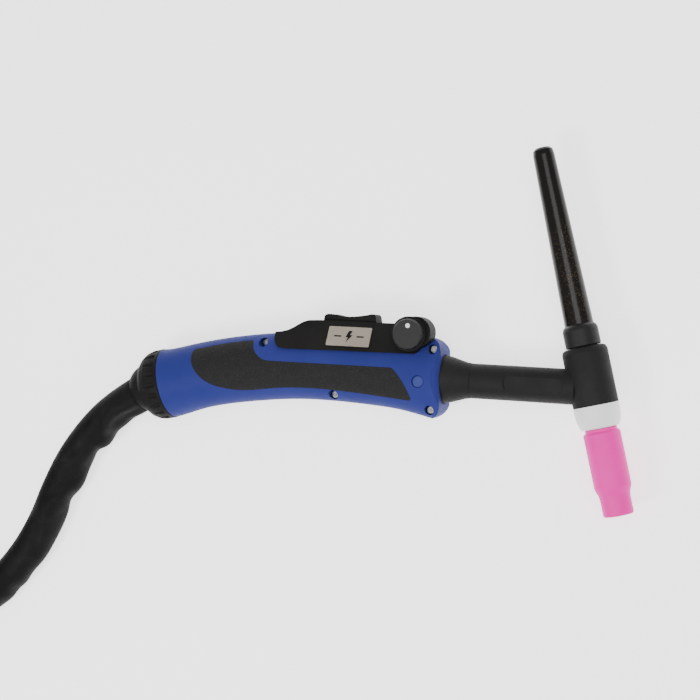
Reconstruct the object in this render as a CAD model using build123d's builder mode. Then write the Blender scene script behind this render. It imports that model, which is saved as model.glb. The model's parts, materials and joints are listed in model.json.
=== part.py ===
"""TIG welding torch with a ball-jointed cable, lying on its side on a bench.

Frame: X runs along the handle towards the head, Y across it towards the rocker
switch and the back cap, Z up from the bench to the knob side. Millimetres.
The torch is drawn in its own middle plane (u along, v across), MID_Z above the bench.
"""

from build123d import *
from math import cos, radians, sin, sqrt, tan
import os

os.makedirs("parts", exist_ok=True)

# ---------------------------------------------------------------- driving sizes
ORIGIN_U = 11.1          # middle of the torch's outline, which is the frame's origin
ORIGIN_V = 10.2
MID_Z = 19.5             # height of the torch's middle plane above the bench
GAP = 0.3                # clearance between pieces that move apart

# handle: centre u, v, heading in degrees, half height, half thickness
HANDLE_SECTIONS = [
    (-104.85, -18.50, 10.8, 19.30, 19.30),
    (-90.0, -15.20, 10.5, 18.30, 18.60),
    (-72.0, -11.80, 8.0, 18.20, 17.90),
    (-52.0, -9.60, 4.0, 18.30, 17.40),
    (-30.0, -8.60, 0.0, 18.20, 17.20),
    (-8.0, -9.40, -2.0, 18.20, 17.20),
    (14.0, -10.80, -3.0, 18.90, 17.20),
    (32.0, -12.50, -3.0, 20.00, 17.20),
    (46.0, -14.70, -3.0, 21.50, 17.20),
    (57.0, -15.40, -3.0, 21.60, 17.00),
]
WALL = 2.6               # handle shell wall
INLAY_T = 1.5            # soft grip layer

REAR = (-104.85, -18.50, 190.8)      # end of the handle: u, v, heading of the cable axis
RING_R = 19.5
RING_LEN = 14.6
BALL_R = 13.5
BALL_AT = 11.3           # ball centre beyond the end of the handle
BALL_CUT = 8.5           # flat on the ball where the cable starts
CABLE_R = 10.3           # sheathed cable
CABLE_HEADING = 208.0    # where the cable leaves the ball, in the bench plane
CABLE_DIP = 5.0          # and how far it dips towards the bench

NECK = (50.0, -15.36, -3.05)         # neck axis at the handle's mouth
NECK_R = 9.25
BOOT_R = 13.0
HEAD = (129.8, -19.6, 11.7)          # head axis: foot of the cap side, lean from vertical
HEAD_R = 11.8
HEAD_TOP = 21.6
HEAD_LOW = -8.8
CAP_TOP = 127.3
CAP_FOOT = HEAD_TOP + GAP
NOZZLE_TOP = -21.0
NOZZLE_END = -66.1
NOZZLE_R = 9.6
MOUTH_R = 5.5
ELECTRODE_BORE_R = 1.25

MODULE_TURN = -3.0       # the switch module leans forward on the handle
PIVOT = (2.0, 13.2)      # rocker pivot
KNOB = (37.4, 8.3)       # knob axis
KNOB_FACE = 23.6
HUMP = (40.4, 9.2)       # the hump behind the knob reaches past it
HUMP_R = 8.3
HUMP_TOP = 18.2

SCREWS = [(-45.5, 4.2), (48.2, 0.4), (-6.3, -23.8), (46.2, -31.6)]

COIL = (-372.5, -32.7)   # centre of the coiled cable
COIL_IN = 83.6
COIL_OUT = 146.4
COIL_STEP = 10.5         # half the spacing of the turns
COIL_H = 38.6
TAIL_TURN = 158          # where the sheath ends, round the coil from the rightmost point


def place(u, v, turn=0.0, z=0.0):
    """Drawing plane parallel to the bench, its X turned from the torch's own."""
    a = radians(turn)
    return Plane(
        origin=(u - ORIGIN_U, v - ORIGIN_V, MID_Z + z),
        x_dir=(cos(a), sin(a), 0),
        z_dir=(0, 0, 1),
    )


def across(u, v, heading, z=0.0):
    """Plane square to a line that runs in the bench plane: local X up, Z along it."""
    a = radians(heading)
    return Plane(
        origin=(u - ORIGIN_U, v - ORIGIN_V, MID_Z + z),
        x_dir=(0, 0, 1),
        z_dir=(cos(a), sin(a), 0),
    )


def turn_profile(plane, points, about, mode=Mode.ADD):
    """Revolve a closed outline drawn on a plane about one of its own axes."""
    with BuildSketch(plane) as profile:
        with BuildLine():
            Polyline(*points, close=True)
        make_face()
    revolve(profile.sketch, axis=Axis(plane.origin, about), mode=mode)


def head_turn(points, mode=Mode.ADD):
    """Revolve (radius, height) points about the head axis."""
    turn_profile(HEAD_PLANE, points, HEAD_PLANE.y_dir, mode)


def neck_turn(points, mode=Mode.ADD):
    """Revolve (distance, radius) points about the neck axis."""
    turn_profile(NECK_PLANE, points, NECK_PLANE.x_dir, mode)


def rear_turn(points, mode=Mode.ADD):
    """Revolve (distance, radius) points about the axis of the ball joint."""
    turn_profile(REAR_PLANE, points, REAR_PLANE.x_dir, mode)


def handle_loft(inset, mode=Mode.ADD, first=0, last=len(HANDLE_SECTIONS)):
    """The handle's oval body, shrunk all round by inset."""
    rings = []
    for u, v, heading, half_h, half_w in HANDLE_SECTIONS[first:last]:
        with BuildSketch(across(u, v, heading)) as ring:
            Ellipse(half_w - inset, half_h - inset)
        rings.append(ring.sketch)
    loft(rings, mode=mode)


def slab(outline, low, high, mode=Mode.ADD):
    """Extrude a sketch drawn on the middle plane from one height to another."""
    extrude(outline.moved(Location((0, 0, low))), amount=high - low, mode=mode)


def save(part, label):
    part.label = label
    export_step(part, f"parts/{label}.step")


HEAD_PLANE = place(*HEAD)
NECK_PLANE = place(*NECK)
REAR_PLANE = place(*REAR)
REAR_FACE = across(*REAR)
SPLIT = Plane.XY.offset(MID_Z)

# ---------------------------------------------------------------- outlines
with BuildSketch(place(0, 0)) as handle_outline:
    # side view of the handle: its front is nearly flat, with two rounded corners
    with BuildLine():
        rear_top = (-130.0, 30.0)
        rear_low = (-130.0, -50.0)
        Polyline((44.5, -50.0), rear_low, rear_top, (44.5, 30.0), (44.5, 6.8))
        RadiusArc((44.5, 6.8), (52.8, -1.6), 8.6)
        ThreePointArc((52.8, -1.6), (52.2, -15.6), (52.0, -29.6))
        RadiusArc((52.0, -29.6), (44.5, -36.4), 7.6)
        Line((44.5, -36.4), (44.5, -50.0))
    make_face()

# the handle seen from its narrow side: the front edge is bevelled all round
with BuildSketch(Plane.XZ.offset(50)) as front_bevel:
    with BuildLine():
        bevel = [(46.5, 25.0), (46.5, 18.4), (50.4, 15.6), (51.6, 14.0), (53.0, 11.0)]
        Polyline(
            *[(u - ORIGIN_U, MID_Z + z) for u, z in bevel],
            *[(u - ORIGIN_U, MID_Z - z) for u, z in reversed(bevel)],
            (-140.0, MID_Z - 25.0), (-140.0, MID_Z + 25.0), close=True
        )
    make_face()

INLAY_REAR = (-86.4, 0.2)
INLAY_STEP = (-51.2, 5.5)
INLAY_FRONT = (27.6, -9.2)
INLAY_TIP = (37.4, -26.8)
with BuildSketch(place(0, 0)) as inlay_outline:
    with BuildLine():
        ThreePointArc(INLAY_REAR, (-70.0, 3.3), INLAY_STEP)
        Spline(INLAY_STEP, (-49.6, -0.2), (-45.6, -4.2), (-39.0, -5.8), tangents=[(0.1, -1), (1, -0.05)])
        Line((-39.0, -5.8), INLAY_FRONT)
        ThreePointArc(INLAY_FRONT, (33.2, -16.4), INLAY_TIP)
        Spline(
            INLAY_TIP, (11.0, -23.2), (-7.0, -21.2), (-24.0, -20.2), (-40.0, -20.6),
            (-57.0, -21.8), (-66.0, -20.9), (-76.0, -17.6), (-82.0, -12.6), (-85.6, -6.6), INLAY_REAR,
        )
    make_face()
    for corner, size in ((INLAY_REAR, 2.0), (INLAY_STEP, 1.6), (INLAY_FRONT, 3.0), (INLAY_TIP, 1.2)):
        fillet(inlay_outline.vertices().sort_by_distance((*corner, 0))[0], size)


MODULE_POINTS = [
    (-38.4, 9.9), (-34.6, 10.2), (-31.6, 10.9), (-28.8, 12.2), (-26.2, 13.9), (-23.4, 15.4),
    (-20.4, 16.2), (-14.2, 16.2), (18.3, 14.5), (40.0, 13.5), (43.6, 10.6), (44.2, 6.6),
    (43.0, 3.0), (41.6, -0.6), (39.6, -2.0), (-32.0, 0.9), (-35.0, 1.5), (-37.0, 3.2), (-38.2, 5.8),
]


def module_outline(shrink):
    with BuildSketch(place(0, 0)) as outline:
        with BuildLine():
            Polyline(*MODULE_POINTS, close=True)
        make_face()
        if shrink:
            offset(amount=-shrink, kind=Kind.INTERSECTION)
    return outline.sketch


def hump_outline(size):
    with BuildSketch(place(0, 0)) as outline:
        for at in (KNOB, HUMP):
            with Locations(at):
                Circle(size)
    return outline.sketch


def module_section(shrink):
    """Cross-section of the switch module: sides that slope in towards the top."""
    half_low = 17.4 - shrink * 1.2
    half_high = 8.0 - shrink * 1.2
    # local X of this plane is up from the bench, local Y is down across the handle
    with BuildSketch(across(-60.0, 3.1, MODULE_TURN)) as section:
        with BuildLine():
            Polyline(
                (-half_low, 5.0), (-half_low, 1.0), (-half_high, -15.2), (-6.9, -18.0),
                (6.9, -18.0), (half_high, -15.2), (half_low, 1.0), (half_low, 5.0), close=True
            )
        make_face()
    return section.sketch


# ---------------------------------------------------------------- handle shells
with BuildPart() as screw_bosses:
    for u, v in SCREWS:
        with BuildSketch(place(u, v)) as boss:
            Circle(4.3)
        extrude(boss.sketch, amount=15, both=True)
    handle_loft(0.8, Mode.INTERSECT)

with BuildPart() as grip_pocket:
    slab(inlay_outline.sketch, -25, 25)
    handle_loft(INLAY_T, Mode.SUBTRACT)

with BuildPart() as handle_blank:
    handle_loft(0)
    handle_loft(WALL, Mode.SUBTRACT, last=8)
    add(screw_bosses.part)
    slab(handle_outline.sketch, -25, 25, Mode.INTERSECT)
    extrude(front_bevel.sketch, amount=100, both=True, mode=Mode.INTERSECT)
    neck_turn([(-30, 0), (-30, 8.3), (-12, 8.3), (-12, BOOT_R + 0.1), (9, BOOT_R + 0.1), (9, 0)],
              Mode.SUBTRACT)
    add(grip_pocket.part, mode=Mode.SUBTRACT)
    # opening under the switch module
    with BuildSketch(place(1.0, 11.0)) as switch_opening:
        Rectangle(58.0, 17.0)
    slab(switch_opening.sketch, -8.5, 8.5, Mode.SUBTRACT)
    # seat for the knob's potentiometer hump
    slab(hump_outline(HUMP_R + 0.15), 4.8, 25, Mode.SUBTRACT)
    # clearance holes for the screws
    for u, v in SCREWS:
        with BuildSketch(place(u, v)) as shank_hole:
            Circle(1.6)
        slab(shank_hole.sketch, -25, 25, Mode.SUBTRACT)

with BuildPart() as handle_shell_near:
    add(handle_blank.part)
    split(bisect_by=SPLIT, keep=Keep.TOP)
    for u, v in SCREWS:
        with BuildSketch(place(u, v)) as head_hole:
            Circle(2.55)
        slab(head_hole.sketch, 4.0, 25, Mode.SUBTRACT)
    with BuildSketch(place(41.5, -16.4)) as badge_seat:
        Circle(3.2)
    slab(badge_seat.sketch, 15.2, 25, Mode.SUBTRACT)
save(handle_shell_near.part, "handle_shell_near")

with BuildPart() as handle_shell_far:
    add(handle_blank.part)
    split(bisect_by=SPLIT, keep=Keep.BOTTOM)
    for u, v in SCREWS:
        with BuildSketch(place(u, v)) as nut_hole:
            RegularPolygon(3.0, 6)
        slab(nut_hole.sketch, -25, -6.0, Mode.SUBTRACT)
save(handle_shell_far.part, "handle_shell_far")

with BuildPart() as grip_inlay_near:
    slab(inlay_outline.sketch, 4.0, 25)
    handle_loft(INLAY_T, Mode.SUBTRACT)
    handle_loft(0, Mode.INTERSECT)
save(grip_inlay_near.part, "grip_inlay_near")

with BuildPart() as grip_inlay_far:
    slab(inlay_outline.sketch, -25, -4.0)
    handle_loft(INLAY_T, Mode.SUBTRACT)
    handle_loft(0, Mode.INTERSECT)
save(grip_inlay_far.part, "grip_inlay_far")

with BuildPart() as blank_badge:
    with BuildSketch(place(41.5, -16.4)) as badge:
        Circle(3.0)
    slab(badge.sketch, 15.2, 16.3)
    fillet(blank_badge.edges().group_by(Axis.Z)[-1], 0.4)
save(blank_badge.part, "blank_badge")

with BuildPart() as shell_screws:
    for u, v in SCREWS:
        with BuildSketch(place(u, v)) as screw_head:
            Circle(1.8)
            RegularPolygon(0.95, 6, mode=Mode.SUBTRACT)
        slab(screw_head.sketch, 4.6, 6.4)
        with BuildSketch(place(u, v)) as screw_shank:
            Circle(1.45)
        slab(screw_shank.sketch, -8.0, 4.0)
        with BuildSketch(place(u, v)) as screw_disc:
            Circle(1.8)
        slab(screw_disc.sketch, 4.0, 4.6)
save(shell_screws.part, "shell_screws")

with BuildPart() as shell_nuts:
    for u, v in SCREWS:
        with BuildSketch(place(u, v)) as nut:
            RegularPolygon(2.8, 6)
            Circle(1.5, mode=Mode.SUBTRACT)
        slab(nut.sketch, -8.4, -6.0)
save(shell_nuts.part, "shell_nuts")

# ---------------------------------------------------------------- ball joint at the rear
with BuildPart() as socket_cup:
    rear_turn([(-7.0, 6.6), (-7.0, 15.5), (-0.1, 15.5), (-0.1, 15.0), (3.6, 15.0), (3.6, 6.6)])
    with Locations(REAR_PLANE.location * Location((BALL_AT, 0, 0))):
        Sphere(BALL_R + 1.6, mode=Mode.SUBTRACT)
save(socket_cup.part, "socket_cup")

with BuildPart() as seat_washer:
    with Locations(REAR_PLANE.location * Location((BALL_AT, 0, 0))):
        Sphere(BALL_R + 1.3)
        Sphere(BALL_R + GAP, mode=Mode.SUBTRACT)
    rear_turn([(3.8, 0), (3.8, 20), (7.0, 20), (7.0, 0)], Mode.INTERSECT)
save(seat_washer.part, "seat_washer")

with BuildPart() as retaining_ring:
    with BuildSketch(REAR_PLANE) as ring_profile:
        with BuildLine():
            lip_r = BALL_R + GAP
            lip = [(at, sqrt(lip_r ** 2 - (at - BALL_AT) ** 2)) for at in (11.0, 12.8, RING_LEN)]
            ThreePointArc(*lip)
            Polyline(
                lip[2], (14.3, 13.9), (13.2, 15.3), (11.4, 17.1), (8.6, 18.7), (5.2, RING_R),
                (0.6, RING_R), (0.05, RING_R - 0.5), (0.05, 15.3), (11.0, 15.3), lip[0],
            )
        make_face()
    revolve(ring_profile.sketch, axis=Axis(REAR_PLANE.origin, REAR_PLANE.x_dir))
    # finger flutes round the rim
    with BuildSketch(REAR_FACE.offset(2.0)) as flutes:
        with PolarLocations(RING_R + 0.5, 20):
            Circle(1.5)
    extrude(flutes.sketch, amount=13, mode=Mode.SUBTRACT)
save(retaining_ring.part, "retaining_ring")

# cable direction where it leaves the ball
out = Vector(
    cos(radians(CABLE_HEADING)) * cos(radians(CABLE_DIP)),
    sin(radians(CABLE_HEADING)) * cos(radians(CABLE_DIP)),
    -sin(radians(CABLE_DIP)),
)
ball_centre = REAR_PLANE.from_local_coords(Vector(BALL_AT, 0, 0))
CABLE_START = Plane(origin=ball_centre + out * BALL_CUT, z_dir=out)

with BuildPart() as cable_ball:
    with Locations(Location(ball_centre)):
        Sphere(BALL_R)
    split(bisect_by=CABLE_START, keep=Keep.BOTTOM)
    with BuildSketch(CABLE_START) as ball_bore:
        Circle(6.6)
    extrude(ball_bore.sketch, amount=-40, mode=Mode.SUBTRACT)
save(cable_ball.part, "cable_ball")

# ---------------------------------------------------------------- neck and head
with BuildPart() as neck_boot:
    neck_turn([
        (-8.0, 7.6), (-8.0, BOOT_R), (0.0, BOOT_R), (3.5, 12.7), (7.3, 11.8), (10.5, 10.8),
        (13.8, 9.8), (17.0, NECK_R), (17.0, 7.6),
    ])
save(neck_boot.part, "neck_boot")

with BuildPart() as torch_body:
    neck_turn([(-6.0, 0), (-6.0, 7.5), (17.1, 7.5), (17.1, NECK_R), (71.5, NECK_R), (71.5, 0)])
    head_turn([
        (0, HEAD_LOW), (HEAD_R, HEAD_LOW), (HEAD_R, HEAD_TOP - 2.6),
        (HEAD_R - 0.7, HEAD_TOP - 0.8), (HEAD_R - 2.4, HEAD_TOP), (0, HEAD_TOP),
    ])
    # bores for the metal core and its pipe
    head_turn([(0, HEAD_LOW), (8.0, HEAD_LOW), (8.0, 15.5), (6.4, 15.5), (6.4, 30), (0, 30)],
              Mode.SUBTRACT)
    neck_turn([(-8.0, 0), (-8.0, 4.0), (80.0, 4.0), (80.0, 0)], Mode.SUBTRACT)
    # shallow pad pressed in the neck's side
    with BuildSketch(place(100.2, -18.0, NECK[2])) as neck_pad:
        SlotOverall(31.0, 8.6)
    slab(neck_pad.sketch, 8.4, 25, Mode.SUBTRACT)
save(torch_body.part, "torch_body")

with BuildPart() as head_core:
    head_turn([(5.2, HEAD_LOW), (8.0, HEAD_LOW), (8.0, 15.5), (5.2, 15.5)])
    neck_turn([(0, 0), (0, 4.0), (80.0, 4.0), (80.0, 0)], Mode.SUBTRACT)
save(head_core.part, "head_core")

with BuildPart() as neck_pipe:
    neck_turn([(-16.0, 2.6), (-16.0, 4.0), (76.0, 4.0), (76.0, 2.6)])
    head_turn([(0, -20), (8.0, -20), (8.0, 30), (0, 30)], Mode.SUBTRACT)
save(neck_pipe.part, "neck_pipe")

with BuildPart() as power_terminal:
    with BuildSketch(across(*NECK).offset(-25.0)) as terminal_hex:
        RegularPolygon(7.0, 6)
    extrude(terminal_hex.sketch, amount=13)
    with BuildSketch(across(*NECK).offset(-16.0)) as terminal_bore:
        Circle(4.05)
    extrude(terminal_bore.sketch, amount=10, mode=Mode.SUBTRACT)
save(power_terminal.part, "power_terminal")

with BuildPart() as collet_body:
    head_turn([
        (2.6, 5.0), (2.6, -44.0), (1.7, -46.5), (3.2, -46.5), (4.4, -44.0), (4.4, -33.0),
        (5.3, -32.0), (5.3, -12.5), (7.4, -12.0), (7.4, -9.0), (5.1, -9.0), (5.1, 5.0),
    ])
    # four gas ports
    for turn in (0, 90):
        with BuildSketch(Plane(HEAD_PLANE.location * Rotation(0, turn, 0))) as gas_port:
            with Locations((0, -38.5)):
                Circle(0.9)
        extrude(gas_port.sketch, amount=8, both=True, mode=Mode.SUBTRACT)
save(collet_body.part, "collet_body")

with BuildPart() as collet:
    head_turn([
        (ELECTRODE_BORE_R, 5.8), (ELECTRODE_BORE_R, -45.8), (1.65, -45.8), (2.5, -43.6),
        (2.5, 5.8),
    ])
save(collet.part, "collet")

with BuildPart() as insulator_ring:
    head_turn([
        (7.5, HEAD_LOW), (11.7, HEAD_LOW), (11.85, -11.0), (11.7, -14.0), (11.2, -17.0),
        (10.3, -19.8), (9.2, -20.7), (5.4, -20.7), (5.4, -12.6), (7.5, -12.1),
    ])
save(insulator_ring.part, "insulator_ring")

with BuildPart() as nozzle_gasket:
    head_turn([(5.7, -21.2), (7.1, -21.2), (7.1, -22.4), (5.7, -22.4)])
save(nozzle_gasket.part, "nozzle_gasket")

with BuildPart() as gas_nozzle:
    head_turn([
        (7.4, NOZZLE_TOP), (8.25, NOZZLE_TOP), (8.25, -22.3), (NOZZLE_R, -23.4),
        (NOZZLE_R, -50.6), (9.4, -51.8), (8.2, -55.0), (7.9, -57.0), (7.9, -65.4),
        (7.3, NOZZLE_END), (MOUTH_R, NOZZLE_END), (MOUTH_R, -56.0), (6.4, -50.0),
        (6.4, -34.0), (5.7, -33.0), (5.7, -22.8), (7.4, -22.8),
    ])
save(gas_nozzle.part, "gas_nozzle")

with BuildPart() as cap_o_ring:
    head_turn([(4.6, 18.6), (6.0, 18.6), (6.0, 20.8), (4.6, 20.8)])
    fillet(cap_o_ring.edges(), 0.5)
save(cap_o_ring.part, "cap_o_ring")

with BuildPart() as back_cap:
    head_turn([
        (0, CAP_TOP), (4.0, CAP_TOP - 0.3), (5.2, CAP_TOP - 1.5), (5.6, CAP_TOP - 4.0),
        (7.5, 33.6), (7.6, 33.3), (8.7, 32.0), (9.15, 30.6), (9.15, CAP_FOOT + 0.4),
        (8.8, CAP_FOOT), (4.3, CAP_FOOT), (4.3, 17.0), (4.8, 16.5), (4.8, 7.0), (2.9, 6.4),
        (2.0, 6.4), (2.0, 110.0), (0, 110.0),
    ])
save(back_cap.part, "back_cap")

# ---------------------------------------------------------------- switch module
with BuildPart() as module_outer:
    slab(module_outline(0), -20, 20)
    extrude(module_section(0), amount=130, mode=Mode.INTERSECT)

with BuildPart() as module_inner:
    slab(module_outline(1.7), -20, 20)
    extrude(module_section(1.7), amount=130, mode=Mode.INTERSECT)

with BuildPart() as switch_module:
    add(module_outer.part)
    slab(hump_outline(HUMP_R), 5.0, HUMP_TOP)
    add(module_inner.part, mode=Mode.SUBTRACT)
    handle_loft(-0.1, Mode.SUBTRACT)
    # the hump goes down into its seat in the handle
    slab(hump_outline(HUMP_R), 5.0, HUMP_TOP)
    slab(hump_outline(HUMP_R - 1.6), 6.6, HUMP_TOP - 1.6, Mode.SUBTRACT)
    # frame that hangs in the handle and carries the circuit board
    with BuildSketch(place(1.0, 7.0)) as board_frame:
        Rectangle(57.4, 9.0)
        Rectangle(55.0, 30.0, mode=Mode.SUBTRACT)
    slab(board_frame.sketch, -8.2, 8.2)
    for side in (-1, 1):
        with BuildSketch(place(1.0, 6.5)) as frame_side:
            Rectangle(57.4, 8.0)
        slab(frame_side.sketch, side * 7.6 - 0.6, side * 7.6 + 0.6)
        with BuildSketch(place(1.0 + side * 26.5, 2.9)) as board_ledge:
            Rectangle(2.0, 0.8)
        slab(board_ledge.sketch, -8.2, 8.2)
        with BuildSketch(place(PIVOT[0], 11.6)) as pin_rib:
            Rectangle(5.6, 6.4)
        slab(pin_rib.sketch, side * 7.0 - 0.6, side * 7.0 + 0.6)
    with BuildSketch(place(*PIVOT)) as pin_hole:
        Circle(1.2)
    slab(pin_hole.sketch, -7.6, 7.6, Mode.SUBTRACT)
    # opening for the rocker and hole for the knob's shaft
    with BuildSketch(place(1.8, 17.5)) as rocker_opening:
        Rectangle(31.2, 12.0)
    slab(rocker_opening.sketch, -6.35, 6.35, Mode.SUBTRACT)
    with BuildSketch(place(*KNOB)) as shaft_hole:
        Circle(3.5)
    slab(shaft_hole.sketch, HUMP_TOP - 3, HUMP_TOP + 3, Mode.SUBTRACT)
save(switch_module.part, "switch_module")

with BuildPart() as circuit_board:
    with BuildSketch(place(1.0, 4.0)) as board:
        Rectangle(54.8, 1.4)
    slab(board.sketch, -6.9, 6.9)
save(circuit_board.part, "circuit_board")

SWITCH_AT = [PIVOT[0] - 9.0, PIVOT[0] + 9.0]
for at, label in zip(SWITCH_AT, ("rear", "front")):
    with BuildPart() as microswitch:
        with BuildSketch(place(at, 7.1)) as switch_case:
            Rectangle(8.0, 4.8)
        slab(switch_case.sketch, -3.2, 3.2)
        with Locations(place(at, 8.4).location * Rotation(90, 0, 0)):
            Cylinder(1.7, 2.6, mode=Mode.SUBTRACT)
    save(microswitch.part, f"microswitch_{label}")

    with BuildPart() as plunger:
        with Locations(place(at, 9.75).location * Rotation(90, 0, 0)):
            Cylinder(1.3, 3.1)
    save(plunger.part, f"switch_plunger_{label}")

with BuildPart() as rocker_pin:
    with BuildSketch(place(*PIVOT)) as pin:
        Circle(1.2)
    slab(pin.sketch, -7.5, 7.5)
save(rocker_pin.part, "rocker_pin")

with BuildPart() as rocker_button:
    with BuildSketch(place(0, 0)) as rocker_side:
        with BuildLine():
            Polyline((-12.6, 18.0), (-13.0, 15.6), (-13.0, 12.2), (-12.0, 11.6), (15.6, 11.6),
                     (16.6, 12.2), (16.6, 14.4), (16.0, 18.0))
            Spline((16.0, 18.0), (14.9, 19.0), (12.7, 18.9), (8.6, 18.3), (3.1, 17.9),
                   (-2.1, 18.1), (-6.5, 19.1), (-9.7, 19.5), (-11.8, 19.1), (-12.6, 18.0))
        make_face()
        with Locations(PIVOT):
            Circle(1.26, mode=Mode.SUBTRACT)
    slab(rocker_side.sketch, -6.0, 6.0)
save(rocker_button.part, "rocker_button")

with BuildPart() as potentiometer_body:
    with BuildSketch(place(*KNOB)) as pot_can:
        Circle(6.4)
    slab(pot_can.sketch, 8.0, 15.0)
    with BuildSketch(place(*KNOB)) as pot_bush:
        Circle(4.4)
    slab(pot_bush.sketch, 15.0, 16.6)
    with BuildSketch(place(*KNOB)) as pot_bore:
        Circle(3.06)
    slab(pot_bore.sketch, 12.0, 17.0, Mode.SUBTRACT)
save(potentiometer_body.part, "potentiometer_body")

with BuildPart() as knob_shaft:
    with BuildSketch(place(*KNOB)) as shaft:
        Circle(3.0)
    slab(shaft.sketch, 12.4, 21.0)
save(knob_shaft.part, "knob_shaft")

with BuildPart() as adjust_knob:
    turn_plane = Plane(origin=place(*KNOB).origin, x_dir=(1, 0, 0), z_dir=(0, -1, 0))
    turn_profile(turn_plane, [
        (0, 21.0), (3.0, 21.0), (3.0, 18.6), (8.9, 18.6), (9.2, 19.0), (9.2, 20.2),
        (8.1, 20.9), (7.7, 23.0), (7.3, KNOB_FACE), (0, KNOB_FACE),
    ], turn_plane.y_dir)
    with BuildSketch(place(KNOB[0] + 0.5, KNOB[1] + 4.3)) as dot_seat:
        Circle(1.2)
    slab(dot_seat.sketch, KNOB_FACE - 0.5, KNOB_FACE + 1, Mode.SUBTRACT)
save(adjust_knob.part, "adjust_knob")

with BuildPart() as knob_pointer:
    with BuildSketch(place(KNOB[0] + 0.5, KNOB[1] + 4.3)) as dot:
        Circle(1.2)
    slab(dot.sketch, KNOB_FACE - 0.5, KNOB_FACE + 0.05)
save(knob_pointer.part, "knob_pointer")

# label plate on the module's sloping near side
lean = radians(-MODULE_TURN)
slope = Vector(9.4 * sin(lean), 9.4 * cos(lean), 16.2).normalized()
with BuildPart() as label_plate:
    label_centre = place(3.2, 7.0, z=12.72).origin
    label_plane = Plane(origin=label_centre, x_dir=(cos(lean), -sin(lean), 0), z_dir=slope)
    with BuildSketch(label_plane) as plate:
        RectangleRounded(23.7, 11.7, 0.6)
    extrude(plate.sketch, amount=0.4)
save(label_plate.part, "label_plate")

# ---------------------------------------------------------------- leads inside the handle
HOSE_POINTS = [(24.6, -14.0), (-8.0, -13.2), (-44.0, -13.8), (-72.0, -15.8), (-92.0, -18.2)]
WIRE_POINTS = [(-18.0, 1.4), (-36.0, -2.4), (-62.0, -4.6), (-90.0, -9.6)]


def lead(points, radii, width):
    """Round cord along straight runs joined by arcs."""
    with BuildLine() as route:
        FilletPolyline(*points, radius=radii)
    plane = Plane(origin=route.line @ 0, z_dir=route.line % 0)
    with BuildSketch(plane) as section:
        Circle(width)
    sweep(section.sketch, path=route.line)


def bend_radii(points):
    """Largest arcs that leave a tenth of the shorter run straight, one per corner."""
    radii = []
    for a, b, c in zip(points, points[1:], points[2:]):
        first = Vector(*b) - Vector(*a)
        second = Vector(*c) - Vector(*b)
        half_turn = radians(first.get_angle(second) / 2)
        radii.append(0.45 * min(first.length, second.length) / tan(half_turn))
    return radii


def on_tail(points):
    """Points from the coil's centre, turned to where the sheath ends, as u, v and height."""
    turned = [Vector(*point).rotate(Axis.Z, TAIL_TURN) for point in points]
    return [(COIL[0] + point.X, COIL[1] + point.Y, point.Z) for point in turned]


def in_frame(points):
    """Points given as u, v and height above the middle plane, in the part's frame."""
    return [(u - ORIGIN_U, v - ORIGIN_V, MID_Z + z) for u, v, z in points]


with BuildPart() as power_hose:
    hose_points = in_frame([(u, v, 0.0) for u, v in HOSE_POINTS])
    lead(hose_points, bend_radii(hose_points), 5.5)
save(power_hose.part, "power_hose")

with BuildPart() as switch_wires:
    wire_points = in_frame([(u, v, 0.0) for u, v in WIRE_POINTS])
    lead(wire_points, bend_radii(wire_points), 1.6)
save(switch_wires.part, "switch_wires")

# ---------------------------------------------------------------- sheathed cable
start = ball_centre + out * BALL_CUT
second = start + out * 14.0
LEAD_POINTS = [
    (start.X + ORIGIN_U, start.Y + ORIGIN_V, start.Z - MID_Z),
    (second.X + ORIGIN_U, second.Y + ORIGIN_V, second.Z - MID_Z), (-151.7, -43.1, -5.0), (-166.5, -59.0, -8.1), (-178.2, -77.6, -9.2),
    (-192.8, -110.5, -9.2), (-215.9, -138.1, -9.2), (-245.8, -158.2, -9.2),
    (-280.2, -168.7, -9.2), (-330.0, -168.7, -9.2),
]
with BuildPart() as cable_lead:
    lead_points = in_frame(LEAD_POINTS)
    lead_radii = bend_radii(lead_points)
    lead(lead_points, lead_radii, CABLE_R)
save(cable_lead.part, "cable_lead")
print("cable_lead radii", [round(r) for r in lead_radii])

with BuildPart() as cable_coil:
    coil_plane = Plane(
        origin=(COIL[0] - ORIGIN_U, COIL[1] - ORIGIN_V, 0), x_dir=(1, 0, 0), z_dir=(0, -1, 0)
    )
    turn_profile(coil_plane, [
        (COIL_IN + 4.0, 0), (COIL_OUT - 4.0, 0), (COIL_OUT, 6.0), (COIL_OUT, 15.0),
        (COIL_OUT - COIL_STEP, 35.0), (COIL_OUT - COIL_STEP - 6.0, COIL_H),
        (COIL_IN + COIL_STEP + 6.0, COIL_H), (COIL_IN + COIL_STEP, 35.0), (COIL_IN, 15.0),
        (COIL_IN, 6.0),
    ], coil_plane.y_dir)
save(cable_coil.part, "cable_coil")

# bare power lead from the end of the sheath to its plug, inside the coil
POWER_POINTS = [
    (93.1, -17.6, -9.2), (85.7, -40.4, -10.4), (67.9, -56.5, -12.4), (42.5, -61.9, -13.4),
    (17.8, -53.9, -11.0), (0.4, -34.6, -6.5), (-4.1, -13.1, -6.5),
]
with BuildPart() as power_lead:
    power_points = in_frame(on_tail(POWER_POINTS))
    power_radii = bend_radii(power_points)
    lead(power_points, power_radii, 6.0)
save(power_lead.part, "power_lead")
print("power_lead radii", [round(r) for r in power_radii])

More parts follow.
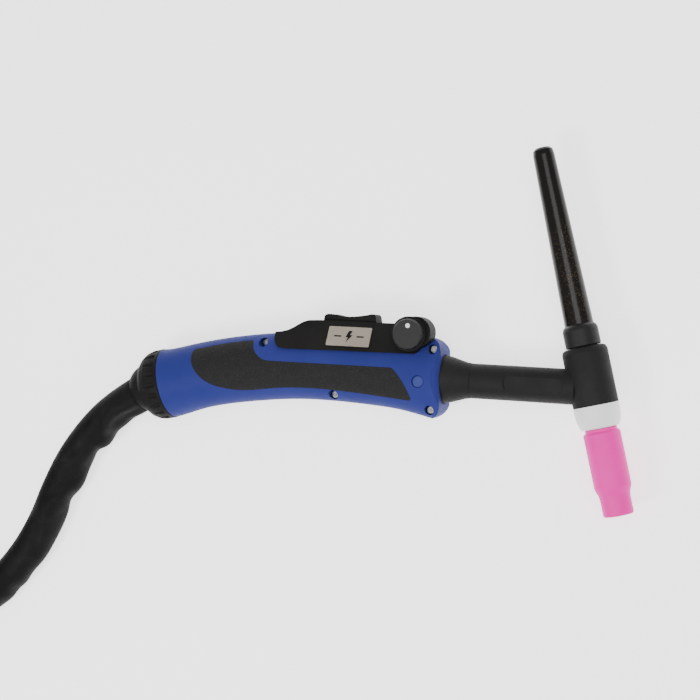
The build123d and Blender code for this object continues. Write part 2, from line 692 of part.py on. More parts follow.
CONTROL_POINTS = [
    (87.3, -4.3, -12.0), (82.1, -23.6, -14.4), (66.8, -36.4, -16.4), (44.8, -36.4, -14.6),
    (27.9, -22.3, -11.0), (24.1, -0.6, -11.0),
]
with BuildPart() as control_lead:
    control_points = in_frame(on_tail(CONTROL_POINTS))
    control_radii = bend_radii(control_points)
    lead(control_points, control_radii, 3.0)
save(control_lead.part, "control_lead")
print("control_lead radii", [round(r) for r in control_radii])

# ---------------------------------------------------------------- plugs at the far end
PLUG_AT = on_tail([POWER_POINTS[-1]])[0]
PLUG_PLANE = place(PLUG_AT[0], PLUG_AT[1], 101.8 + TAIL_TURN, PLUG_AT[2])


def plug_turn(plane, points, mode=Mode.ADD):
    turn_profile(plane, points, plane.x_dir, mode)


with BuildPart() as power_plug_body:
    plug_turn(PLUG_PLANE, [
        (-12.0, 6.05), (-12.0, 7.6), (4.0, 9.6), (12.0, 12.4), (15.0, 13.0), (58.0, 13.0),
        (60.0, 12.4), (60.0, 7.0), (52.0, 7.0), (52.0, 0), (0.1, 0), (0.1, 6.05),
    ])
    # grip grooves
    for along in range(20, 52, 6):
        plug_turn(PLUG_PLANE, [(along, 12.2), (along, 14), (along + 2, 14), (along + 2, 12.2)],
                  Mode.SUBTRACT)
save(power_plug_body.part, "power_plug_body")

with BuildPart() as power_plug_pin:
    plug_turn(PLUG_PLANE, [
        (52.1, 0), (52.1, 6.9), (60.0, 6.9), (60.0, 6.5), (83.0, 6.5), (85.0, 5.4), (85.0, 0),
    ])
save(power_plug_pin.part, "power_plug_pin")

CONTROL_AT = on_tail([CONTROL_POINTS[-1]])[0]
CONTROL_PLANE = place(CONTROL_AT[0], CONTROL_AT[1], 99.9 + TAIL_TURN, CONTROL_AT[2])
with BuildPart() as control_plug_body:
    plug_turn(CONTROL_PLANE, [
        (-6.0, 3.05), (-6.0, 4.4), (3.0, 5.6), (8.0, 7.4), (22.0, 7.4), (22.0, 6.2),
        (40.0, 6.2), (40.0, 5.0), (26.0, 5.0), (26.0, 0), (0.1, 0), (0.1, 3.05),
    ])
save(control_plug_body.part, "control_plug_body")

with BuildPart() as control_plug_ring:
    plug_turn(CONTROL_PLANE, [(22.4, 6.5), (22.4, 8.5), (38.0, 8.5), (38.0, 6.5)])
    with BuildSketch(Plane(origin=CONTROL_PLANE.origin, x_dir=(0, 0, 1),
                           z_dir=CONTROL_PLANE.x_dir).offset(22.0)) as ring_grooves:
        with PolarLocations(8.8, 18):
            Circle(0.7)
    extrude(ring_grooves.sketch, amount=18, mode=Mode.SUBTRACT)
save(control_plug_ring.part, "control_plug_ring")

with BuildPart() as control_plug_pins:
    with BuildSketch(Plane(origin=CONTROL_PLANE.origin, x_dir=(0, 0, 1),
                           z_dir=CONTROL_PLANE.x_dir).offset(26.0)) as contacts:
        with PolarLocations(2.9, 5):
            Circle(0.6)
    extrude(contacts.sketch, amount=9)
save(control_plug_pins.part, "control_plug_pins")
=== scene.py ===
import json
import math

import bpy
import numpy as np
from mathutils import Matrix, Vector


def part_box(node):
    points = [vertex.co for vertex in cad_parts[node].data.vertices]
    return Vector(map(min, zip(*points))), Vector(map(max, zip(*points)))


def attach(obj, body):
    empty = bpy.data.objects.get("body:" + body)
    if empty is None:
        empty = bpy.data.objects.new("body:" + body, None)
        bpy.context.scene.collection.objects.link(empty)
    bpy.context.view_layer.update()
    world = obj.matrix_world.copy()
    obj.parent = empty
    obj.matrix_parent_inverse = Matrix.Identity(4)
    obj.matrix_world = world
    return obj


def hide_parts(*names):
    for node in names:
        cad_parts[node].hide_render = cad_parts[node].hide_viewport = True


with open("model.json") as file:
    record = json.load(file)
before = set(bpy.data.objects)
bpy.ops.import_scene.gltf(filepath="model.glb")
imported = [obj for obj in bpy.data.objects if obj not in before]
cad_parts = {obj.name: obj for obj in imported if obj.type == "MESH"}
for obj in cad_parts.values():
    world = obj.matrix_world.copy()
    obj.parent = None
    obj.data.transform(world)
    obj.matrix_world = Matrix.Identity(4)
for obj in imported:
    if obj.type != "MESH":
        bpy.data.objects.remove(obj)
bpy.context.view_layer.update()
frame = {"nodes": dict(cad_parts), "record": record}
nodes = frame["nodes"]
record = frame["record"]
slot_of = {row["node"]: row["material_slot"] for row in record["subparts"]}


# ------------------------------------------------------------------ camera
MID = Vector((-0.0111, -0.0102, 0.0195))     # a point in the middle plane of the handle
LEAN = math.radians(16.4)                    # the camera stands off towards the head
DISTANCE = 0.742                             # from MID to the camera
back = Vector((math.sin(LEAN), 0.0, math.cos(LEAN)))
right = Vector((math.cos(LEAN), 0.0, -math.sin(LEAN)))
up = Vector((0.0, 1.0, 0.0))
lens = bpy.data.cameras.new("camera")
lens.sensor_width = 36.0
lens.lens = 70.6
lens.clip_start = 0.01
camera = bpy.data.objects.new("camera", lens)
stand = MID + DISTANCE * back
camera.matrix_world = Matrix((
    (right.x, up.x, back.x, stand.x),
    (right.y, up.y, back.y, stand.y),
    (right.z, up.z, back.z, stand.z),
    (0, 0, 0, 1),
))
bpy.context.collection.objects.link(camera)
bpy.context.scene.camera = camera


# ------------------------------------------------------------------ materials
def srgb(red, green, blue):
    """A light colour given in screen values as the linear one that a shader takes."""
    return (*(((c / 255 + 0.055) / 1.055) ** 2.4 for c in (red, green, blue)), 1.0)


mats = {}


class Surface:
    """A material being wired: its shader, its object coordinates and its bumps so far."""

    def __init__(self, name, **values):
        self.mat = bpy.data.materials.new(name)
        self.mat.use_nodes = True
        mats[name] = self.mat
        self.tree = self.mat.node_tree
        self.shader = self.tree.nodes["Principled BSDF"]
        for socket, value in values.items():
            self.shader.inputs[socket.replace("_", " ")].default_value = value
        self.place = self.tree.nodes.new("ShaderNodeTexCoord").outputs["Object"]
        self.normal = None

    def link(self, a, b):
        self.tree.links.new(a, b)

    def stretched(self, scale):
        node = self.tree.nodes.new("ShaderNodeMapping")
        node.inputs["Scale"].default_value = scale
        self.link(self.place, node.inputs["Vector"])
        return node.outputs["Vector"]

    def noise(self, scale, detail=3.0, rough=0.55, place=None, warp=0.0):
        node = self.tree.nodes.new("ShaderNodeTexNoise")
        node.inputs["Scale"].default_value = scale
        node.inputs["Detail"].default_value = detail
        node.inputs["Roughness"].default_value = rough
        node.inputs["Distortion"].default_value = warp
        self.link(place or self.place, node.inputs["Vector"])
        return node.outputs["Fac"]

    def cells(self, scale):
        node = self.tree.nodes.new("ShaderNodeTexVoronoi")
        node.inputs["Scale"].default_value = scale
        self.link(self.place, node.inputs["Vector"])
        return node.outputs["Distance"]

    def spread(self, fac, low, high, to_low=0.0, to_high=1.0):
        """The part of fac from low to high, brought to the range from to_low to to_high."""
        node = self.tree.nodes.new("ShaderNodeMapRange")
        node.inputs["From Min"].default_value = low
        node.inputs["From Max"].default_value = high
        node.inputs["To Min"].default_value = to_low
        node.inputs["To Max"].default_value = to_high
        self.link(fac, node.inputs["Value"])
        return node.outputs["Result"]

    def mixed(self, fac, a, b):
        """Colour a where fac is 0 and b where it is 1; each a colour or an output."""
        node = self.tree.nodes.new("ShaderNodeMix")
        node.data_type = "RGBA"
        for socket, value in ((node.inputs[6], a), (node.inputs[7], b)):
            if isinstance(value, tuple):
                socket.default_value = value
            else:
                self.link(value, socket)
        self.link(fac, node.inputs[0])
        return node.outputs[2]

    def colour(self, output):
        self.link(output, self.shader.inputs["Base Color"])

    def clouded(self, fac, dark, light, low=0.35, high=0.65):
        """Base colour that drifts from dark to light with a noise."""
        self.colour(self.mixed(self.spread(fac, low, high), dark, light))

    def roughness(self, fac, low, high):
        self.link(self.spread(fac, 0.3, 0.7, low, high), self.shader.inputs["Roughness"])

    def round_edges(self, radius):
        node = self.tree.nodes.new("ShaderNodeBevel")
        node.samples = 6
        node.inputs["Radius"].default_value = radius
        self.normal = node.outputs["Normal"]
        self.link(self.normal, self.shader.inputs["Normal"])

    def bump(self, height, depth, strength=1.0):
        node = self.tree.nodes.new("ShaderNodeBump")
        node.inputs["Strength"].default_value = strength
        node.inputs["Distance"].default_value = depth
        self.link(height, node.inputs["Height"])
        if self.normal:
            self.link(self.normal, node.inputs["Normal"])
        self.normal = node.outputs["Normal"]
        self.link(self.normal, self.shader.inputs["Normal"])


MOULDED_EDGE = 0.00025
METAL_EDGE = 0.00012
METAL_MARKS = 0.00002                        # depth of the marks left by machining


def moulded(name, dark, light, rough, grain, depth, **values):
    """Moulded plastic or rubber: cloudy colour, uneven gloss and a fine eroded texture.

    rough is the least and greatest roughness, grain the texture's scale and depth its depth."""
    s = Surface(name, **values)
    s.clouded(s.noise(38, 4.0), dark, light)
    s.roughness(s.noise(160, 5.0), *rough)
    s.round_edges(MOULDED_EDGE)
    s.bump(s.noise(grain, 2.0, 0.6), depth)


def metal(name, dark, light, rough):
    """Machined metal: fine marks drawn out along one way, and a faint tarnish."""
    s = Surface(name, Metallic=1.0)
    s.clouded(s.noise(220, 4.0), dark, light)
    marks = s.noise(900, 3.0, place=s.stretched((1, 6, 1)))
    s.roughness(marks, *rough)
    s.round_edges(METAL_EDGE)
    s.bump(marks, METAL_MARKS)


moulded(
    "blue_shell", (0.0260, 0.0335, 0.180, 1), (0.0310, 0.0385, 0.200, 1),
    (0.42, 0.5), 2600, 0.00004, Specular_IOR_Level=0.025,
)
moulded(
    "badge_plastic", (0.0300, 0.0440, 0.210, 1), (0.0340, 0.0500, 0.230, 1),
    (0.32, 0.4), 2600, 0.00003, Specular_IOR_Level=0.2,
)

# the grip's rubber: a pebbled skin with faint pale flecks
grip = Surface("soft_grip", Specular_IOR_Level=0.10)
grain = grip.cells(1500)
flecks = grip.spread(grip.noise(1400, 2.0, 0.7), 0.55, 0.8)
grip.colour(grip.mixed(flecks, (0.0170, 0.0170, 0.0173, 1), (0.040, 0.040, 0.040, 1)))
grip.roughness(grip.noise(240, 4.0), 0.62, 0.78)
grip.round_edges(0.0004)
grip.bump(grain, 0.00014, 0.8)

moulded(
    "black_plastic", (0.0112, 0.0108, 0.0104, 1), (0.0150, 0.0146, 0.0140, 1),
    (0.5, 0.6), 2200, 0.00005, Specular_IOR_Level=0.05,
)
moulded(
    "torch_rubber", (0.0132, 0.0130, 0.0128, 1), (0.0172, 0.0170, 0.0167, 1),
    (0.5, 0.64), 1800, 0.00006, Specular_IOR_Level=0.10,
)
moulded(
    "seal_rubber", (0.0040, 0.0040, 0.0040, 1), (0.0060, 0.0060, 0.0060, 1),
    (0.4, 0.5), 1500, 0.00005,
)
moulded(
    "cable_rubber", (0.0050, 0.0050, 0.0050, 1), (0.0085, 0.0085, 0.0083, 1),
    (0.42, 0.55), 900, 0.00008,
)
moulded(
    "insulator_white", (0.86, 0.87, 0.88, 1), (0.92, 0.93, 0.94, 1), (0.42, 0.52), 1600, 0.00003,
)
moulded(
    "seat_ptfe", (0.72, 0.71, 0.66, 1), (0.80, 0.79, 0.75, 1), (0.4, 0.5), 1600, 0.00003,
)
moulded(
    "white_mark", (0.84, 0.84, 0.83, 1), (0.90, 0.90, 0.89, 1), (0.35, 0.45), 1600, 0.00002,
)
moulded(
    "ceramic_pink", (0.88, 0.006, 0.360, 1), (0.94, 0.009, 0.420, 1),
    (0.42, 0.54), 1400, 0.00007, Specular_IOR_Level=0.2,
)
moulded(
    "board_green", (0.006, 0.055, 0.018, 1), (0.010, 0.080, 0.028, 1),
    (0.25, 0.35), 1200, 0.00003,
)
metal("steel", (0.27, 0.27, 0.28, 1), (0.42, 0.42, 0.43, 1), (0.2, 0.34))
metal("brass", (0.50, 0.30, 0.08, 1), (0.62, 0.40, 0.14, 1), (0.2, 0.36))
metal("copper", (0.48, 0.17, 0.08, 1), (0.60, 0.24, 0.13, 1), (0.22, 0.4))
moulded(
    "label_metal", (0.34, 0.300, 0.245, 1), (0.39, 0.345, 0.285, 1), (0.34, 0.42), 900, 0.00002,
    Metallic=0.35,
)

# the back cap: matt at its collar, glossy above it, where golden flecks and patches are a painted
# reflection
CAP_UP = Vector((-0.2028, 0.9792, 0.0))      # the head's axis, towards the cap's tip
HEAD_MIDDLE = MID + Vector((0.1298, -0.0196, 0.0))
COLLAR_HEIGHT = 0.0322                       # the collar's top, from the head's middle
COLLAR_BLEND = 0.0012                        # height over which the collar's finish gives way
cap = Surface("cap_plastic", Specular_IOR_Level=0.22)
height = cap.tree.nodes.new("ShaderNodeVectorMath")
height.operation = "DOT_PRODUCT"
height.inputs[1].default_value = CAP_UP
cap.link(cap.place, height.inputs[0])
collar_top = (HEAD_MIDDLE + CAP_UP * COLLAR_HEIGHT).dot(CAP_UP)
level = cap.spread(height.outputs["Value"], collar_top, collar_top + COLLAR_BLEND)
# golden flecks and patches above the collar: painted reflection of a warm surround, put into the
# base colour
reflection_flecks = cap.spread(cap.cells(900), 0.34, 0.12)
reflection_patch = cap.spread(cap.noise(30, 2.0, place=cap.stretched((1.0, 0.5, 1.0))), 0.50, 0.66)
painted_reflection = cap.mixed(reflection_patch, (0.0085, 0.0068, 0.0054, 1), (0.070, 0.046, 0.018, 1))
flecked_painted_reflection = cap.mixed(reflection_flecks, (0.0062, 0.0050, 0.0042, 1), painted_reflection)
cap.colour(cap.mixed(level, (0.0100, 0.0098, 0.0095, 1), flecked_painted_reflection))
gloss = cap.mixed(level, (0.52, 0.52, 0.52, 1), (0.21, 0.21, 0.21, 1))
cap.link(gloss, cap.shader.inputs["Roughness"])
cap.round_edges(0.0003)
cap.bump(cap.noise(420, 3.0), 0.00007)

# the sheath's leather: blotched, creased in the large and pored in the small
leather = Surface("sheath", Specular_IOR_Level=0.06)
leather.clouded(
    leather.noise(60, 5.0, warp=0.6),
    (0.0066, 0.0066, 0.0067, 1), (0.0124, 0.0123, 0.0123, 1), 0.3, 0.7,
)
leather.roughness(leather.noise(120, 5.0), 0.5, 0.66)
leather.bump(leather.noise(110, 4.0, warp=0.8), 0.0006, 0.5)
leather.bump(leather.cells(1300), 0.00012, 0.7)

# the knob's top face is painted paler than its skirt, and the skirt's dark colour is painted shade
FACE_DEPTH = 0.0009                          # the face's edge lies this far below the knob's top
FACE_BLEND = 0.0005
dial = Surface("knob_plastic", Specular_IOR_Level=0.16)
split = dial.tree.nodes.new("ShaderNodeSeparateXYZ")
dial.link(dial.place, split.inputs[0])
face_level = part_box("adjust_knob")[1][2] - FACE_DEPTH
on_face = dial.spread(split.outputs["Z"], face_level, face_level + FACE_BLEND)
# dark skirt colour: painted shade; pale face colour: the lit top
dial.colour(dial.mixed(on_face, (0.0055, 0.0053, 0.0051, 1), (0.0240, 0.0240, 0.0238, 1)))
dial.roughness(dial.noise(300, 4.0), 0.4, 0.5)
dial.round_edges(0.0002)
dial.bump(dial.noise(1800, 2.0), 0.00004)

# the knob's own material carries the painted shade on its skirt
SPECIAL = {"adjust_knob": "knob_plastic"}    # nodes with a finish of their own
for name, piece in nodes.items():
    piece.data.materials.clear()
    piece.data.materials.append(mats[SPECIAL.get(name, slot_of[name])])


# ------------------------------------------------------------------ cord routes
def route_curve(name, points):
    """A smooth curve guided by its control points, with no thickness."""
    data = bpy.data.curves.new(name, "CURVE")
    data.dimensions = "3D"
    data.resolution_u = 10
    line = data.splines.new("NURBS")
    line.points.add(len(points) - 1)
    for spot, point in zip(line.points, points):
        spot.co = (*point, 1.0)
    line.order_u = 3
    line.use_endpoint_u = True
    piece = bpy.data.objects.new(name, data)
    bpy.context.collection.objects.link(piece)
    return piece


def vertices(mesh):
    """A mesh's corners as an array, one row each."""
    return np.array([tuple(v.co) for v in mesh.vertices])


def read_route(points):
    """The points along the smooth route of some control points, in order."""
    piece = route_curve("route", points)
    bpy.context.view_layer.update()
    mesh = bpy.data.meshes.new_from_object(piece)
    line = vertices(mesh)
    bpy.data.meshes.remove(mesh)
    bpy.data.objects.remove(piece)
    return line


def along(points):
    """The distance run at each point of a line."""
    steps = np.linalg.norm(np.diff(points, axis=0), axis=1)
    return np.concatenate([[0.0], np.cumsum(steps)])


SHEATH_R = 0.0103
COIL = Vector((-0.3836, -0.0429, 0.0))       # centre of the put-away coil
COIL_RUN = 0.35                              # past this distance the sheath is in the coil
COIL_POINTS = 66                             # one control point every 24 degrees
CORNER_CUT = 1.008                           # the smooth curve runs this much inside its points

# from the ball joint down to the bench, round and into the coil
LEAD = [
    (-0.1345, -0.0348, 0.0188), (-0.1468, -0.0413, 0.0175), (-0.1628, -0.0533, 0.0145),
    (-0.1776, -0.0692, 0.0114), (-0.1893, -0.0878, 0.0103), (-0.2039, -0.1207, 0.0103),
    (-0.2270, -0.1483, 0.0103), (-0.2569, -0.1684, 0.0103), (-0.2913, -0.1789, 0.0103),
    (-0.3411, -0.1789, 0.0103),
]
# the coil's turns: angle round its centre in degrees, radius and height in millimetres
TURNS = [
    (-100, 136, 10.3), (-340, 136, 10.3), (-375, 125, 10.3), (-410, 115, 10.3), (-660, 115, 10.3),
    (-685, 115, 20), (-705, 116, 28.3), (-730, 125.5, 31), (-755, 125.5, 31), (-785, 125.5, 28.3),
    (-970, 125.5, 28.3), (-995, 115, 31), (-1020, 104.5, 30), (-1035, 95, 31), (-1095, 94, 31),
    (-1125, 104.5, 28.3), (-1300, 104.5, 28.3), (-1320, 95, 28.3), (-1340, 94, 20),
    (-1362, 94, 10.3), (-1660, 94, 10.3),
]


def coil_points():
    """Evenly spaced control points of the turns, round the coil's centre."""
    angles = np.linspace(TURNS[0][0], TURNS[-1][0], COIL_POINTS)
    keys = [-t[0] for t in TURNS]
    radii = np.interp(-angles, keys, [t[1] for t in TURNS]) / 1000 * CORNER_CUT
    heights = np.interp(-angles, keys, [t[2] for t in TURNS]) / 1000
    return [
        (COIL.x + r * math.cos(math.radians(a)), COIL.y + r * math.sin(math.radians(a)), h)
        for a, r, h in zip(angles, radii, heights)
    ]


sheath_path = read_route(LEAD + coil_points())


# ------------------------------------------------------------------ the wrinkled sheath
FLOOR_GAP = 0.0001                           # nothing comes nearer to the bench than this


def mesh_piece(name, verts, faces, material):
    """A new piece from its corners and faces."""
    mesh = bpy.data.meshes.new(name)
    mesh.from_pydata(verts, [], faces)
    mesh.update()
    piece = bpy.data.objects.new(name, mesh)
    bpy.context.collection.objects.link(piece)
    mesh.materials.append(mats[material])
    return piece


def ring_frames(path):
    """Left-hand side and top at each point of a path that lies nearly flat."""
    tangent = np.gradient(path, axis=0)
    tangent /= np.linalg.norm(tangent, axis=1)[:, None]
    side = np.cross((0, 0, 1), tangent)
    side /= np.linalg.norm(side, axis=1)[:, None]
    return side, np.cross(tangent, side)


def round_angles(count):
    """Evenly spaced angles once round a circle."""
    return np.linspace(0, 2 * math.pi, count, endpoint=False)


def tube(name, path, radius, material):
    """A closed mesh tube along a path, kept off the bench. radius: one per ring and side."""
    count, sides = radius.shape
    side, top = ring_frames(path)
    angle = round_angles(sides)
    out = side[:, None] * np.cos(angle)[None, :, None] + top[:, None] * np.sin(angle)[None, :, None]
    verts = (path[:, None] + out * radius[:, :, None]).reshape(-1, 3)
    verts[:, 2] = np.maximum(verts[:, 2], FLOOR_GAP)
    faces = []
    for i in range(count - 1):
        near, far = i * sides, (i + 1) * sides
        for j in range(sides):
            k = (j + 1) % sides
            faces.append((near + j, near + k, far + k, far + j))
    faces.append(tuple(reversed(range(sides))))
    faces.append(tuple(range((count - 1) * sides, count * sides)))
    piece = mesh_piece(name, verts.tolist(), faces, material)
    piece.data.polygons.foreach_set("use_smooth", [True] * len(faces))
    return piece


def resample(path, step):
    """The same line with rings at an even spacing."""
    run = along(path)
    spots = np.linspace(0, run[-1], int(run[-1] / step) + 1)
    return np.stack([np.interp(spots, run, path[:, k]) for k in range(3)], axis=1), spots


SIDES = 40
RING_STEP = 0.002
FOLD_ENDS = 0.06                             # a fold has died out at this distance
HOLLOW, CREST = -0.0022, 0.0018              # the deepest and highest that folds may reach
STRAPS = (-125, 165)                         # where the straps cross the coil, degrees
STRAP_BITE = 0.0013                          # how far they draw the sheath in
sheath_line, sheath_run = resample(sheath_path, RING_STEP)
SHEATH_LENGTH = float(sheath_run[-1])
relief = np.zeros((len(sheath_run), SIDES))
sheath_angle = round_angles(SIDES)


def fold(where, facing, height, reach, wide, slant):
    """One soft fold: distance along, side it faces, height, half length, half width in degrees
    and how much it slants round the sheath."""
    away = (sheath_angle - math.radians(facing) + math.pi) % (2 * math.pi) - math.pi
    near = np.abs(sheath_run - where) < FOLD_ENDS
    shift = sheath_run[near][:, None] - where - slant * away[None, :]
    dying = (shift / reach) ** 2 + (away[None, :] / math.radians(wide)) ** 2
    relief[near] += height * np.exp(-dying)


# folds of the stretch nearest the ball, as fold() takes them; side 0 is left and 90 is up
for row in (
    (0.011, 38, -0.0020, 0.011, 17, 0.006), (0.010, 68, 0.0011, 0.008, 22, 0.004),
    (0.024, 62, 0.0013, 0.005, 26, -0.012), (0.031, 72, -0.0013, 0.004, 28, -0.014),
    (0.016, 20, -0.0014, 0.006, 45, 0.004), (0.022, 75, 0.0008, 0.008, 40, -0.006),
    (0.030, 10, -0.0010, 0.007, 50, 0.000), (0.038, 5, 0.0017, 0.006, 55, 0.003),
    (0.040, 60, -0.0011, 0.007, 35, 0.010), (0.047, 0, -0.0017, 0.005, 60, -0.004),
    (0.050, 95, 0.0007, 0.010, 45, 0.008), (0.060, 15, -0.0010, 0.008, 50, 0.006),
    (0.064, 55, -0.0012, 0.006, 35, -0.010), (0.072, 5, 0.0015, 0.008, 55, 0.002),
    (0.083, 0, -0.0018, 0.005, 60, -0.004), (0.088, 70, 0.0009, 0.009, 40, 0.008),
    (0.096, 30, -0.0012, 0.007, 45, 0.006), (0.104, 110, -0.0008, 0.009, 40, -0.008),
    (0.056, 78, -0.0013, 0.004, 30, 0.016), (0.070, 84, 0.0010, 0.005, 26, -0.012),
    (0.078, 66, -0.0014, 0.004, 28, 0.012), (0.112, 70, -0.0012, 0.004, 30, -0.014),
):
    fold(*row)

# made-up folds from there to the end, mostly on the inside of the bend
FOLDS_FROM = 0.118
FOLDS_STOP = 0.03                            # before the sheath's end
BEND_TURNS = 0.27                            # the bends change from left to right here
dice = np.random.default_rng(7)
at = FOLDS_FROM
while at < SHEATH_LENGTH - FOLDS_STOP:
    inner = 0 if at < BEND_TURNS else 180
    fold(
        at, inner + dice.uniform(-50, 50), dice.uniform(-0.0015, 0.0011),
        dice.uniform(0.004, 0.009), dice.uniform(35, 60), dice.uniform(-0.008, 0.008),
    )
    fold(
        at + 0.006, dice.uniform(0, 360), dice.uniform(-0.0007, 0.0007),
        dice.uniform(0.008, 0.016), dice.uniform(40, 70), dice.uniform(-0.010, 0.010),
    )
    at += dice.uniform(0.011, 0.022)
radius = SHEATH_R + np.clip(relief, HOLLOW, CREST)

# drawn in under the two straps: fully within 2.5 degrees of one, and not at all past 7.5
round_coil = np.degrees(np.arctan2(sheath_line[:, 1] - COIL.y, sheath_line[:, 0] - COIL.x))
for strap_at in STRAPS:
    off = (round_coil - strap_at + 180) % 360 - 180
    off[sheath_run < COIL_RUN] = 180
    pinch = np.clip(1.5 - np.abs(off) / 5, 0, 1)[:, None]
    radius = radius * (1 - pinch) + (SHEATH_R - STRAP_BITE) * pinch
sheath = tube("sheath", sheath_line, radius, "sheath")
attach(sheath, "cable")
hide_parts("cable_lead", "cable_coil")


# ------------------------------------------------------------------ the straps round the coil
STRAP_HALF_WIDTH = 0.007
STRAP_THICKNESS = 0.0011


def hull(points):
    """The convex outline of flat points, anticlockwise."""
    points = sorted(set((round(x, 6), round(y, 6)) for x, y in points))
    chains = []
    for row in (points, points[::-1]):
        chain = []
        for x, y in row:
            while len(chain) > 1:
                (ax, ay), (bx, by) = chain[-2:]
                if (bx - ax) * (y - ay) - (by - ay) * (x - ax) > 0:
                    break
                chain.pop()
            chain.append((x, y))
        chains += chain[:-1]
    return chains


def strap(name, angle):
    """A flat strap drawn tight round every turn of the coil at one angle."""
    cut = math.radians(angle)
    out = Vector((math.cos(cut), math.sin(cut), 0))
    side = Vector((-out.y, out.x, 0))
    flat = sheath_line[:, :2] - np.array(COIL[:2])
    outward = flat @ np.array(out[:2])
    across = flat @ np.array(side[:2])
    crosses = across[:-1] * across[1:] <= 0
    here = (outward[:-1] > 0.05) & (sheath_run[:-1] > COIL_RUN)
    lowest = STRAP_THICKNESS + FLOOR_GAP
    inner = hull([
        (
            outward[i] + SHEATH_R * math.cos(a),
            max(sheath_line[i, 2] + SHEATH_R * math.sin(a), lowest),
        )
        for i in np.nonzero(crosses & here)[0] for a in round_angles(36)
    ])
    middle = np.mean(inner, axis=0)
    verts = []
    for r, z in inner:
        away = np.array((r, z)) - middle
        away /= np.linalg.norm(away)
        far_r, far_z = np.array((r, z)) + away * STRAP_THICKNESS
        far = (far_r, max(far_z, FLOOR_GAP))
        for (pr, pz), half in (((r, z), -1), ((r, z), 1), (far, 1), (far, -1)):
            edge = side * (half * STRAP_HALF_WIDTH)
            verts.append(tuple(COIL + out * float(pr) + Vector((0, 0, float(pz))) + edge))
    faces = []
    for i in range(len(inner)):
        this, following = 4 * i, 4 * ((i + 1) % len(inner))
        for j in range(4):
            k = (j + 1) % 4
            faces.append((this + j, this + k, following + k, following + j))
    piece = mesh_piece(name, verts, faces, "seal_rubber")
    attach(piece, "cable")
    return piece


straps = [strap(f"coil_strap_{i + 1}", angle) for i, angle in enumerate(STRAPS)]


# ------------------------------------------------------------------ the sign on the label
# outlines in millimetres from the plate's middle
SPARK = [(-0.5, 3.4), (1.5, 3.4), (0.5, 0.8), (1.9, 0.8), (-1.3, -3.7), (-0.4, -0.6), (-1.8, -0.6)]
BARS = [
    [(-8.2, 0.4), (-8.2, -0.4), (-4.2, -0.4), (-4.2, 0.4)],
    [(4.2, 0.4), (4.2, -0.4), (8.2, -0.4), (8.2, 0.4)],
]
SUNK, RAISED = -0.00002, 0.00005             # the print's two faces, from the plate's top


def label_sign():
    """A plain spark sign between two bars, printed on the label plate."""
    plate = vertices(nodes["label_plate"].data)
    centre = plate.mean(axis=0)
    normal, _, long_way = np.linalg.svd(plate - centre)[2][::-1]
    if normal[2] < 0:
        normal = -normal
    if long_way[0] < 0:
        long_way = -long_way
    high_way = np.cross(normal, long_way)
    top = ((plate - centre) @ normal).max()
    verts = []
    faces = []
    for outline in (SPARK, *BARS):
        first = len(verts)
        count = len(outline)
        for face in (SUNK, RAISED):
            middle = centre + normal * (top + face)
            verts += [tuple(middle + (long_way * x + high_way * y) / 1000) for x, y in outline]
        faces.append(tuple(first + count + i for i in range(count)))
        faces.append(tuple(first + i for i in reversed(range(count))))
        for i in range(count):
            j = (i + 1) % count
            faces.append((first + i, first + j, first + count + j, first + count + i))
    piece = mesh_piece("label_sign", verts, faces, "black_plastic")
    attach(piece, "torch")


label_sign()


# ------------------------------------------------------------------ the tail and its plugs
def round_lead(name, points, radius, material):
    """A bare lead along the smooth route of its control points."""
    piece = route_curve(name, points)
    piece.data.bevel_depth = radius
    piece.data.bevel_resolution = 6
    piece.data.use_fill_caps = True
    piece.data.materials.append(mats[material])
    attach(piece, "cable")
    return piece


POWER = [
    (-0.4633, 0.0083, 0.0103), (-0.4479, 0.0267, 0.0091), (-0.4254, 0.0349, 0.0071),
    (-0.3998, 0.0304, 0.0061), (-0.3799, 0.0137, 0.0085), (-0.3710, -0.0107, 0.0130),
    (-0.3749, -0.0323, 0.0130),
]
CONTROL = [
    (-0.4629, -0.0062, 0.0075), (-0.4509, 0.0097, 0.0051), (-0.4319, 0.0159, 0.0031),
    (-0.4115, 0.0076, 0.0049), (-0.4011, -0.0118, 0.0085), (-0.4057, -0.0333, 0.0085),
]
power = round_lead("power_cable", POWER, 0.006, "cable_rubber")
control = round_lead("control_cable", CONTROL, 0.003, "cable_rubber")
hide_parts("power_lead")
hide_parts("control_lead")
power_length = float(along(read_route(POWER))[-1])
control_length = float(along(read_route(CONTROL))[-1])

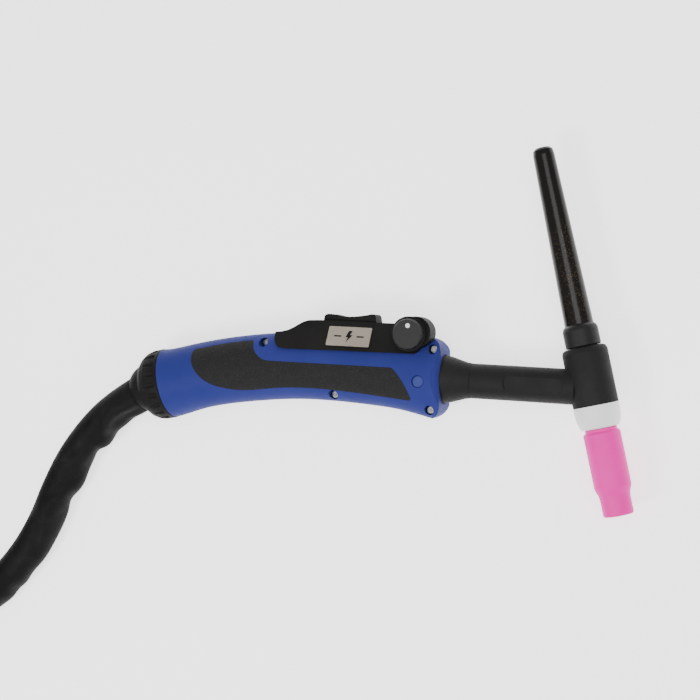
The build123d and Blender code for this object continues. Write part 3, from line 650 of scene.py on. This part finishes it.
# sleeve shrunk over the end of the sheath, down to the two leads
PAST_END = (0.002, 0.004, 0.006, 0.009, 0.012, 0.015)
SLEEVE_RADII = (11.3, 11.5, 11.4, 11.5, 11.4, 11.5, 11.4, 11.4, 11.1, 10.6, 9.9, 9.2, 8.9, 8.7)
tail_out = Vector(sheath_line[-1] - sheath_line[-6]).normalized()
sleeve_line = np.concatenate([
    sheath_line[-8:],
    [tuple(Vector(sheath_line[-1]) + tail_out * d) for d in PAST_END],
])
sleeve_radius = np.array(SLEEVE_RADII)[:, None].repeat(32, 1) / 1000
sleeve = tube("sheath_end_sleeve", sleeve_line, sleeve_radius, "seal_rubber")
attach(sleeve, "cable")

# ------------------------------------------------------------------ floor and light
# glowing white paper, so that its tone stays even; it reaches out to the horizon
FLOOR_HALF = 30
paper = Surface(
    "floor", Specular_IOR_Level=0.0, Roughness=0.9,
    Emission_Color=(1, 1, 1, 1), Emission_Strength=1.7,
)
paper.colour(paper.mixed(paper.noise(3.0), srgb(244, 244, 244), srgb(248, 248, 248)))
corners = [(FLOOR_HALF * x, FLOOR_HALF * y, 0) for x, y in ((-1, -1), (1, -1), (1, 1), (-1, 1))]
floor = mesh_piece("floor", corners, [(0, 1, 2, 3)], "floor")


def panel(name, at, aim, size, power):
    """A square soft light at one place, turned towards another."""
    light = bpy.data.lights.new(name, "AREA")
    light.size = size
    light.energy = power
    piece = bpy.data.objects.new(name, light)
    piece.location = at
    piece.rotation_euler = (Vector(aim) - Vector(at)).to_track_quat("-Z", "Y").to_euler()
    bpy.context.collection.objects.link(piece)


world = bpy.data.worlds.new("studio")
world.use_nodes = True
sky = world.node_tree.nodes["Background"]
sky.inputs["Color"].default_value = (1, 1, 1, 1)
sky.inputs["Strength"].default_value = 0.55
bpy.context.scene.world = world
panel("key", (-0.40, -0.40, 0.85), (-0.05, -0.02, 0), 0.24, 5.5)
panel("fill", (0.75, -0.55, 0.75), (0.05, 0, 0), 0.9, 1.5)
panel("front", (0.25, 0.05, 1.05), (0, 0, 0), 0.7, 6.5)
